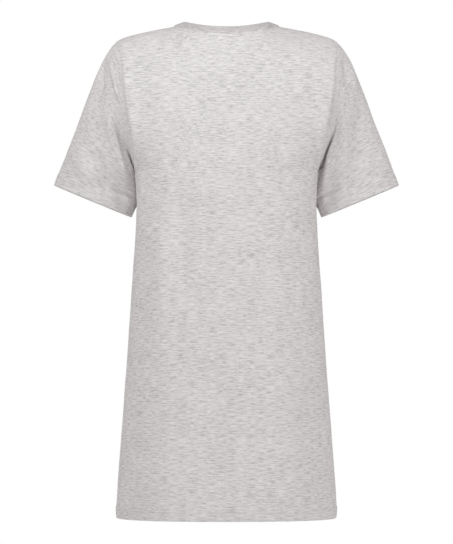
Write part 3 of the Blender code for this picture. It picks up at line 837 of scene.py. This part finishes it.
def cloth_forms():
    """Outer grids, wall normals and seam shifts of the five pieces."""
    half_gap = SEAM_GAP / 2.0
    back = panel("back", NECK_COLUMNS, SHOULDER_COLUMNS, ARMHOLE_ROWS)
    front = panel("front", NECK_COLUMNS, SHOULDER_COLUMNS, ARMHOLE_ROWS)
    first, last = SHOULDER_COLUMNS, back.shape[1] - 1 - SHOULDER_COLUMNS
    front[0, :first + 1] = back[0, :first + 1]
    front[0, last:] = back[0, last:]
    seam = neck_seam(back, front, SHOULDER_COLUMNS)
    band = neckband(seam, NECK_COLUMNS, BAND_RINGS)
    grids = {"back_panel": back, "front_panel": front}
    normals = {
        "back_panel": grid_normals(back, False, -1.0), "front_panel": grid_normals(front, False, 1.0)}
    shifts = {name: np.zeros_like(grid) for name, grid in grids.items()}
    for edge in ((slice(0, 1), slice(0, first + 1)), (slice(0, 1), slice(last, None)),
                 (slice(ARMHOLE_ROWS, None), slice(0, 1)),
                 (slice(ARMHOLE_ROWS, None), slice(-1, None))):
        shared = normals["back_panel"][edge] + normals["front_panel"][edge]
        shared[..., 1] = 0.0
        shared = unit(shared)
        normals["back_panel"][edge] = shared
        normals["front_panel"][edge] = shared
        shifts["back_panel"][edge] += (0.0, -half_gap, 0.0)
        shifts["front_panel"][edge] += (0.0, half_gap, 0.0)

    band_normals = grid_normals(band, True, 1.0)
    own = neck_seam(normals["back_panel"], normals["front_panel"], SHOULDER_COLUMNS)
    below = neck_seam((back[1] - back[0])[None], (front[1] - front[0])[None], SHOULDER_COLUMNS)
    shared, across = seam_frames(seam, own, band_normals[0], -unit(below), unit(band[1] - band[0]))
    band_shift = np.zeros_like(band)
    band_shift[0] = across * half_gap
    band_normals[0] = shared
    width = last - first
    normals["back_panel"][0, first:last + 1] = shared[:width + 1]
    shifts["back_panel"][0, first:last + 1] -= across[:width + 1] * half_gap
    normals["front_panel"][0, first:last + 1] = np.concatenate([shared[width:], shared[:1]])[::-1]
    shifts["front_panel"][0, first:last + 1] -= np.concatenate(
        [across[width:], across[:1]])[::-1] * half_gap

    for side, name in ((-1.0, "sleeve_left"), (1.0, "sleeve_right")):
        place = 0 if side < 0 else -1
        inside = 1 if side < 0 else -2
        rows = ARMHOLE_ROWS
        loop = armhole_loop(back, front, side, rows)
        tube = sleeve(loop, side)
        tube_normals = grid_normals(tube, True, side)
        own = armhole_loop(normals["back_panel"], normals["front_panel"], side, rows)
        toward = np.concatenate([
            (back[:, place] - back[:, inside])[:rows + 1],
            (front[:, place] - front[:, inside])[1:rows][::-1]])
        shared, across = seam_frames(
            loop, own, tube_normals[0], unit(toward), unit(tube[1] - tube[0]))
        tube_shift = np.zeros_like(tube)
        tube_shift[0] = across * half_gap
        tube_normals[0] = shared
        normals["back_panel"][:rows + 1, place] = shared[:rows + 1]
        shifts["back_panel"][:rows + 1, place] -= across[:rows + 1] * half_gap
        for row, seam_place in ((rows, rows), (0, 0)):
            normals["front_panel"][row, place] = shared[seam_place]
            shifts["front_panel"][row, place] -= across[seam_place] * half_gap
        normals["front_panel"][1:rows, place] = shared[rows + 1:][::-1]
        shifts["front_panel"][1:rows, place] -= across[rows + 1:][::-1] * half_gap
        grids[name], normals[name], shifts[name] = tube, tube_normals, tube_shift
    grids["neckband"], normals["neckband"], shifts["neckband"] = band, band_normals, band_shift
    return grids, normals, shifts


def band_relief(grid):
    """Small relief of the neckband: a soft roll between its seam and its free edge."""
    up = distances(grid, 0)
    share = up / up[-1]
    rise, middle, width = BAND_ROLL
    relief = ditch(up, 0.3, 1.4) + rise * np.exp(-((up - middle) / width) ** 2)
    relief += waves(grid, 14.0, 0.16, 40.0) * ease(share / 0.3)
    return relief


def wall_depths(up):
    """Wall thickness of a panel or sleeve: folded double below the hem line, single above it."""
    return CLOTH + (FOLDED_CLOTH - CLOTH) * ease((HEM_DEPTH - 0.6 - up) / 0.8)


def band_depths(up):
    """Wall thickness of the neckband, which grows from its seam."""
    return CLOTH + (BAND_CLOTH - CLOTH) * ease(up / 4.0)


def math_node(tree, kind, *values):
    """Math node on node outputs or plain numbers."""
    node = tree.nodes.new("ShaderNodeMath")
    node.operation = kind
    for place, value in enumerate(values):
        if isinstance(value, float):
            node.inputs[place].default_value = value
        else:
            tree.links.new(value, node.inputs[place])
    return node.outputs[0]


def cloth_noise(tree, flat, width, height, detail, seed):
    """Noise whose spots are width by height metres on the cloth, about 0.5 in the middle."""
    mapping = tree.nodes.new("ShaderNodeMapping")
    mapping.inputs["Scale"].default_value = (1.0 / width, 1.0 / height, 1.0)
    mapping.inputs["Location"].default_value = (seed, seed * 0.7, 0.0)
    tree.links.new(flat, mapping.inputs["Vector"])
    spots = tree.nodes.new("ShaderNodeTexNoise")
    spots.noise_dimensions = "2D"
    spots.inputs["Scale"].default_value = 1.0
    spots.inputs["Detail"].default_value = detail
    spots.inputs["Roughness"].default_value = 0.55
    tree.links.new(mapping.outputs["Vector"], spots.inputs["Vector"])
    return spots.outputs["Fac"]


def shade(colour, factor):
    """Colour made lighter or darker, with full cover."""
    return (*[channel * factor for channel in colour], 1.0)


def jersey(name, colour, seed):
    """Heather jersey: pale yarn with darker and lighter fibre streaks, a fine knit and soft sheen."""
    material = bpy.data.materials.new(name)
    material.use_nodes = True
    tree = material.node_tree
    shader = tree.nodes["Principled BSDF"]
    place = tree.nodes.new("ShaderNodeUVMap")
    place.uv_map = "cloth"
    flat = place.outputs["UV"]

    tone, spots = 0.0, []
    for width, height, detail, step, weight in FIBRES:
        spots.append(cloth_noise(tree, flat, width, height, detail, seed + step))
        tone = math_node(tree, "MULTIPLY_ADD", spots[-1], weight, tone)
    fine_spots = spots[1]
    ramp = tree.nodes.new("ShaderNodeValToRGB")
    ramp.color_ramp.elements[0].position = 0.30
    ramp.color_ramp.elements[1].position = 0.66
    ramp.color_ramp.elements[0].color = shade(colour, 0.63)
    ramp.color_ramp.elements[1].color = shade(colour, 1.24)
    middle = ramp.color_ramp.elements.new(0.47)
    middle.color = shade(colour, 1.0)
    tree.links.new(tone, ramp.inputs["Fac"])
    tree.links.new(ramp.outputs["Color"], shader.inputs["Base Color"])

    full_turn = 2.0 * float(np.pi)
    split = tree.nodes.new("ShaderNodeSeparateXYZ")
    tree.links.new(flat, split.inputs[0])
    wale = math_node(tree, "FRACT", math_node(tree, "MULTIPLY", split.outputs["X"], 1.0 / WALE))
    lean = math_node(tree, "ABSOLUTE", math_node(tree, "SUBTRACT", wale, 0.5))
    course = math_node(tree, "MULTIPLY_ADD", split.outputs["Y"], 1.0 / COURSE, lean)
    loops = math_node(tree, "SINE", math_node(tree, "MULTIPLY", course, full_turn))
    ribs = math_node(tree, "COSINE", math_node(tree, "MULTIPLY", wale, full_turn))
    knit = math_node(tree, "MULTIPLY_ADD", loops, 0.35, math_node(tree, "MULTIPLY", ribs, -0.4))
    knit = math_node(tree, "MULTIPLY_ADD", fine_spots, 0.9, knit)
    bump = tree.nodes.new("ShaderNodeBump")
    bump.inputs["Strength"].default_value = 0.45
    bump.inputs["Distance"].default_value = 0.00012
    tree.links.new(knit, bump.inputs["Height"])
    tree.links.new(bump.outputs["Normal"], shader.inputs["Normal"])

    rough = math_node(tree, "MULTIPLY_ADD", fine_spots, 0.16, 0.80)
    tree.links.new(rough, shader.inputs["Roughness"])
    shader.inputs["Specular IOR Level"].default_value = 0.25
    shader.inputs["Sheen Weight"].default_value = 0.12
    shader.inputs["Sheen Roughness"].default_value = 0.55
    shader.inputs["Sheen Tint"].default_value = (1.0, 0.99, 0.98, 1.0)
    return material


def yarn(name, colour):
    """Sewing thread: fine mottled noise in its colour and bump, a little glossier than the cloth."""
    material = bpy.data.materials.new(name)
    material.use_nodes = True
    tree = material.node_tree
    shader = tree.nodes["Principled BSDF"]
    place = tree.nodes.new("ShaderNodeTexCoord")
    plies = tree.nodes.new("ShaderNodeTexNoise")
    plies.inputs["Scale"].default_value = 2600.0
    plies.inputs["Detail"].default_value = 1.0
    tree.links.new(place.outputs["Object"], plies.inputs["Vector"])
    ramp = tree.nodes.new("ShaderNodeValToRGB")
    ramp.color_ramp.elements[0].color = shade(colour, 0.8)
    ramp.color_ramp.elements[1].color = shade(colour, 1.1)
    tree.links.new(plies.outputs["Fac"], ramp.inputs["Fac"])
    tree.links.new(ramp.outputs["Color"], shader.inputs["Base Color"])
    bump = tree.nodes.new("ShaderNodeBump")
    bump.inputs["Strength"].default_value = 0.3
    bump.inputs["Distance"].default_value = 0.0001
    tree.links.new(plies.outputs["Fac"], bump.inputs["Height"])
    tree.links.new(bump.outputs["Normal"], shader.inputs["Normal"])
    shader.inputs["Roughness"].default_value = 0.6
    return material


def aim(item, target):
    """Turn a light or camera to look at a point."""
    item.rotation_euler = (Vector(target) - item.location).to_track_quat("-Z", "Y").to_euler()


def area_light(name, place, target, size, power, colour):
    """Soft square light at a place, aimed at a point."""
    data = bpy.data.lights.new(name, "AREA")
    data.size = size
    data.energy = power
    data.color = colour
    lamp = bpy.data.objects.new(name, data)
    bpy.context.scene.collection.objects.link(lamp)
    lamp.location = place
    lamp.visible_camera = False
    aim(lamp, target)


def studio():
    """Camera, soft lights, pale surroundings and a plain floor below the garment."""
    data = bpy.data.cameras.new("camera")
    camera = bpy.data.objects.new("camera", data)
    bpy.context.scene.collection.objects.link(camera)
    camera.location = CAMERA_PLACE
    aim(camera, CAMERA_TARGET)
    away = (Vector(CAMERA_TARGET) - camera.location).length
    data.sensor_width = 36.0
    data.lens = data.sensor_width * away / VIEW_HEIGHT
    data.clip_end = 100.0
    bpy.context.scene.camera = camera
    bpy.context.scene.view_settings.view_transform = "Standard"

    for row in LIGHTS:
        area_light(*row)

    world = bpy.data.worlds.new("studio")
    bpy.context.scene.world = world
    world.use_nodes = True
    tree = world.node_tree
    ground = tree.nodes["Background"]
    ground.inputs["Color"].default_value = ROOM_COLOUR
    ground.inputs["Strength"].default_value = ROOM_LIGHT
    seen = tree.nodes.new("ShaderNodeBackground")
    seen.inputs["Color"].default_value = (1.0, 1.0, 1.0, 1.0)
    rays = tree.nodes.new("ShaderNodeLightPath")
    mix = tree.nodes.new("ShaderNodeMixShader")
    tree.links.new(rays.outputs["Is Camera Ray"], mix.inputs[0])
    tree.links.new(ground.outputs[0], mix.inputs[1])
    tree.links.new(seen.outputs[0], mix.inputs[2])
    tree.links.new(mix.outputs[0], tree.nodes["World Output"].inputs["Surface"])

    mesh = bpy.data.meshes.new("floor")
    half = FLOOR_SIZE / 2.0
    mesh.from_pydata(
        [(-half, -half, FLOOR_Z), (half, -half, FLOOR_Z), (half, half, FLOOR_Z),
         (-half, half, FLOOR_Z)], [], [(0, 1, 2, 3)])
    floor = bpy.data.objects.new("floor", mesh)
    bpy.context.scene.collection.objects.link(floor)
    pale = bpy.data.materials.new("pale_floor")
    pale.use_nodes = True
    shader = pale.node_tree.nodes["Principled BSDF"]
    shader.inputs["Base Color"].default_value = (0.86, 0.86, 0.86, 1.0)
    shader.inputs["Roughness"].default_value = 0.7
    mesh.materials.append(pale)


def garment():
    """Make the five cloth pieces and their stitches, each in the place of its solid."""
    grids, normals, shifts = cloth_forms()
    first, last = SHOULDER_COLUMNS, grids["back_panel"].shape[1] - 1 - SHOULDER_COLUMNS
    columns = np.arange(grids["back_panel"].shape[1])
    on_neck = ease((columns - first) / 4.0) * ease((last - columns) / 4.0)
    relief = {
        "back_panel": body_relief(grids["back_panel"], on_neck, BACK_DRAPES, 1.0),
        "front_panel": body_relief(grids["front_panel"], on_neck, FRONT_DRAPES, 4.0),
        "sleeve_left": sleeve_relief(
            grids["sleeve_left"], normals["sleeve_left"], LEFT_FOLDS, RIGHT_FOLDS, 11.0),
        "sleeve_right": sleeve_relief(
            grids["sleeve_right"], normals["sleeve_right"], RIGHT_FOLDS, LEFT_FOLDS, 17.0),
        "neckband": band_relief(grids["neckband"]),
    }
    cloth = jersey("heather_jersey", BODY_COLOUR, 3.0)
    band_cloth = jersey("heather_neckband", BAND_COLOUR, 57.0)
    thread = yarn("grey_thread", THREAD_COLOUR)
    hem_rows, cuff_rows, neck_rows = [], [], []
    for name, grid in grids.items():
        is_panel = name.endswith("_panel")
        is_band = name == "neckband"
        wall_normals = normals[name]
        outer = grid + shifts[name] + wall_normals * relief[name][..., None]
        if is_panel:
            outer[..., 1] += armhole_lip(grid) * (-1.0 if name == "back_panel" else 1.0)
        elif not is_band:
            outer += sleeve_swell(grid, wall_normals)
        down = distances(outer, 0)
        up = down[-1] - down
        depth = band_depths(down) if is_band else wall_depths(up)
        inner = outer - wall_normals * depth[..., None]
        if not is_panel and not is_band:
            half = grid.shape[1] // 2
            outer, inner, up, wall_normals = (
                np.roll(item, -half, axis=1) for item in (outer, inner, up, wall_normals))
        if is_panel:
            flat = panel_map(grid, name.removesuffix("_panel"))
            full_turn = None
        else:
            flat = tube_map(outer)
            last_step = np.linalg.norm(outer[:, 0] - outer[:, -1], axis=-1)
            full_turn = flat[:, -1, 0] + last_step * METRES
        made = shell(name + "_cloth", outer, inner, flat, full_turn,
                     band_cloth if is_band else cloth)
        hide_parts(name)
        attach(made, "root")
        if not is_band:
            rows = hem_rows if is_panel else cuff_rows
            for distance in HEM_STITCHES:
                path = stitch_path(outer, up, distance, not is_panel)
                path_normals = stitch_path(wall_normals, up, distance, not is_panel)
                rows.append(stitches(path, path_normals, HEM_THREAD))
        if is_panel:
            path = stitch_path(outer, down, NECK_STITCH, False)[first:last + 1]
            path_normals = stitch_path(wall_normals, down, NECK_STITCH, False)[first:last + 1]
            neck_rows.append(stitches(path, path_normals, NECK_THREAD))
    for name, rows in (("hem_stitching", hem_rows), ("cuff_stitching", cuff_rows),
                       ("neck_stitching", neck_rows)):
        made = thread_piece(name, rows, thread)
        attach(made, "root")


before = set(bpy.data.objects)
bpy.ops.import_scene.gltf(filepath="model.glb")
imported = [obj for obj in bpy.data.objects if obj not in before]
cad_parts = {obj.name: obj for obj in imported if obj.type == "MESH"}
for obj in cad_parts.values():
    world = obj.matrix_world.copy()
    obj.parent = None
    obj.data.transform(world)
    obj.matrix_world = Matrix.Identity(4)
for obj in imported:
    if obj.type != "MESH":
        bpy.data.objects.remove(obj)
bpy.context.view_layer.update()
studio()
garment()
